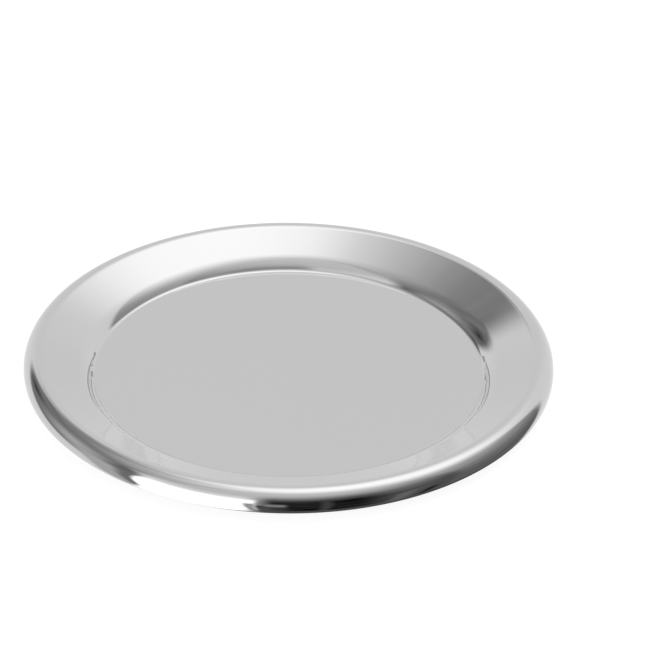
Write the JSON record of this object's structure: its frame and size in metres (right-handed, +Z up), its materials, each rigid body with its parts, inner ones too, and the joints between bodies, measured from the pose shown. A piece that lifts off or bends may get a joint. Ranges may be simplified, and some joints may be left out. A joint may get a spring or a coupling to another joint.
{
  "type": "coin tray",
  "caption": "Round polished steel coin tray: flat floor, sloping wall, wide dished rim with a rounded crown and a wired bead at the edge.",
  "frame": {"origin": "middle of the flat underside of the floor, on the surface the tray stands on", "axes": "+Z up, along the axis of the round tray; X and Y are alike because the tray is round"},
  "size_m": [0.14, 0.14, 0.008],
  "materials": {
    "polished_steel": "mirror-polished stainless steel",
    "steel_wire": "bright drawn steel wire"
  },
  "bodies": {
    "root": {"tray_pan": "polished_steel", "edge_wire": "steel_wire"}
  },
  "joints": []
}
